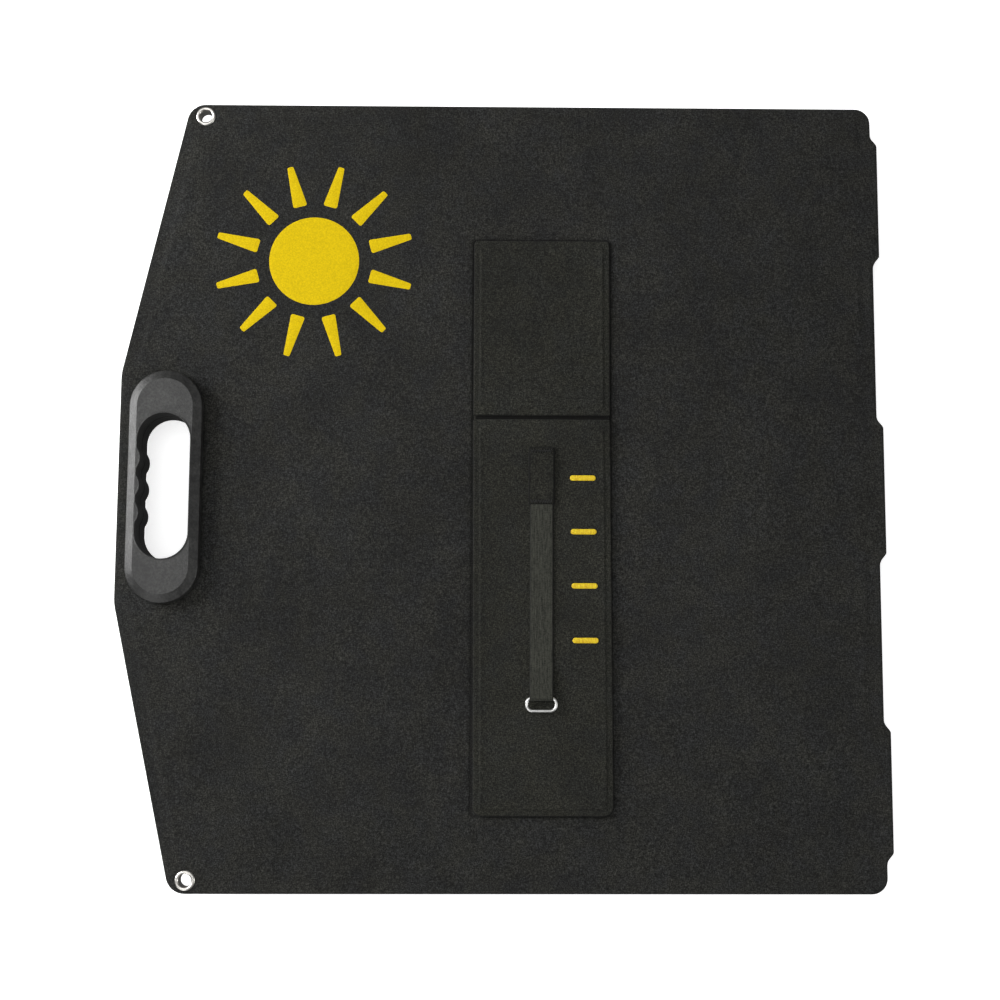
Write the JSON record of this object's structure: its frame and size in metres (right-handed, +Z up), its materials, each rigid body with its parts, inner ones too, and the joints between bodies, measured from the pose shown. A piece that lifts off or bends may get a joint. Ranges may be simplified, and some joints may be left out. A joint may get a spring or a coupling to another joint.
{
  "type": "folding solar panel",
  "caption": "Folding solar charger of fabric-covered rigid panels on a fabric spine, with moulded carry handles, corner grommets and fold-out kickstands with straps.",
  "frame": {"origin": "middle of the footprint of the folded charger, on the surface that the rear handle and the junction box rest on", "axes": "+Z up through the stack, +X from the handles to the spine, +Y from the kickstand's foot to its sewn end"},
  "size_m": [0.59, 0.61, 0.035],
  "materials": {
    "fabric": "woven charcoal polyester, coated",
    "stand_fabric": "woven charcoal polyester, coated",
    "webbing": "ribbed dark grey webbing",
    "yellow_thread": "embroidered yellow thread",
    "sun_print": "matt yellow screen print on the weave",
    "stitching": "black polyester thread",
    "handle_plastic": "fine spark-eroded texture",
    "box_plastic": "fine texture",
    "rubber": "matt",
    "board": "glass-fibre board",
    "backsheet": "black laminated film",
    "solar_cell": "monocrystalline silicon under film",
    "circuit_board": "solder mask",
    "steel": "zinc plated",
    "grommet_steel": "nickel plated"
  },
  "bodies": {
    "rear_panel": {"rear_cover": "fabric", "rear_board": "board", "rear_face_frame": "fabric", "rear_laminate": "backsheet", "rear_cells": "solar_cell", "rear_magnets": "steel", "rear_handle_shell": "handle_plastic", "rear_handle_plate": "handle_plastic", "rear_handle_screws": "steel", "rear_grommets": "grommet_steel", "rear_stand_base": "stand_fabric", "rear_stand_base_stiffener": "board", "box_tray": "box_plastic", "box_seal": "rubber", "box_lid": "box_plastic", "box_screws": "steel", "terminal_board": "circuit_board", "bypass_diodes": "box_plastic", "cable_bush": "rubber"},
    "spine": {"spine_tab_upper": "fabric", "spine_tab_middle": "fabric", "spine_tab_lower": "fabric"},
    "front_panel": {"front_cover": "fabric", "front_board": "board", "front_face_frame": "fabric", "front_laminate": "backsheet", "front_cells": "solar_cell", "front_magnets": "steel", "front_handle_shell": "handle_plastic", "front_handle_plate": "handle_plastic", "front_handle_screws": "steel", "front_grommets": "grommet_steel", "front_stand_base": "stand_fabric", "front_stand_base_stiffener": "board"},
    "rear_leg": {"rear_stand_leg": "stand_fabric", "rear_stand_leg_stiffener": "board", "rear_strap_patch": "stand_fabric", "rear_angle_marks": "yellow_thread"},
    "rear_strap": {"rear_strap": "webbing"},
    "rear_ring": {"rear_ring": "grommet_steel"},
    "front_leg": {"front_stand_leg": "stand_fabric", "front_stand_leg_stiffener": "board", "front_strap_patch": "stand_fabric", "front_angle_marks": "yellow_thread"},
    "front_strap": {"front_strap": "webbing"},
    "front_ring": {"front_ring": "grommet_steel"}
  },
  "joints": [
    {"name": "spine_fold", "type": "hinge", "parent": "rear_panel", "child": "spine", "pos_m": [0.2945, 0, 0.0125], "axis": [0, 1, 0], "range_deg": [0, 90]},
    {"name": "front_fold", "type": "hinge", "parent": "spine", "child": "front_panel", "pos_m": [0.2945, 0, 0.0225], "axis": [0, 1, 0], "range_deg": [0, 90]},
    {"name": "front_stand", "type": "hinge", "parent": "front_panel", "child": "front_leg", "pos_m": [0.03, 0.055, 0.0238], "axis": [-1, 0, 0], "range_deg": [0, 60]},
    {"name": "front_strap_lift", "type": "hinge", "parent": "front_leg", "child": "front_strap", "pos_m": [0.03, -0.0139, 0.0274], "axis": [-1, 0, 0], "range_deg": [0, 90]},
    {"name": "front_ring_swing", "type": "hinge", "parent": "front_strap", "child": "front_ring", "pos_m": [0.03, -0.1594, 0.0292], "axis": [-1, 0, 0], "range_deg": [-6, 150]},
    {"name": "rear_stand", "type": "hinge", "parent": "rear_panel", "child": "rear_leg", "pos_m": [0.03, 0.055, 0.0112], "axis": [1, 0, 0], "range_deg": [0, 60]},
    {"name": "rear_strap_lift", "type": "hinge", "parent": "rear_leg", "child": "rear_strap", "pos_m": [0.03, -0.0139, 0.0076], "axis": [1, 0, 0], "range_deg": [0, 90]},
    {"name": "rear_ring_swing", "type": "hinge", "parent": "rear_strap", "child": "rear_ring", "pos_m": [0.03, -0.1594, 0.0058], "axis": [1, 0, 0], "range_deg": [-6, 150]}
  ]
}
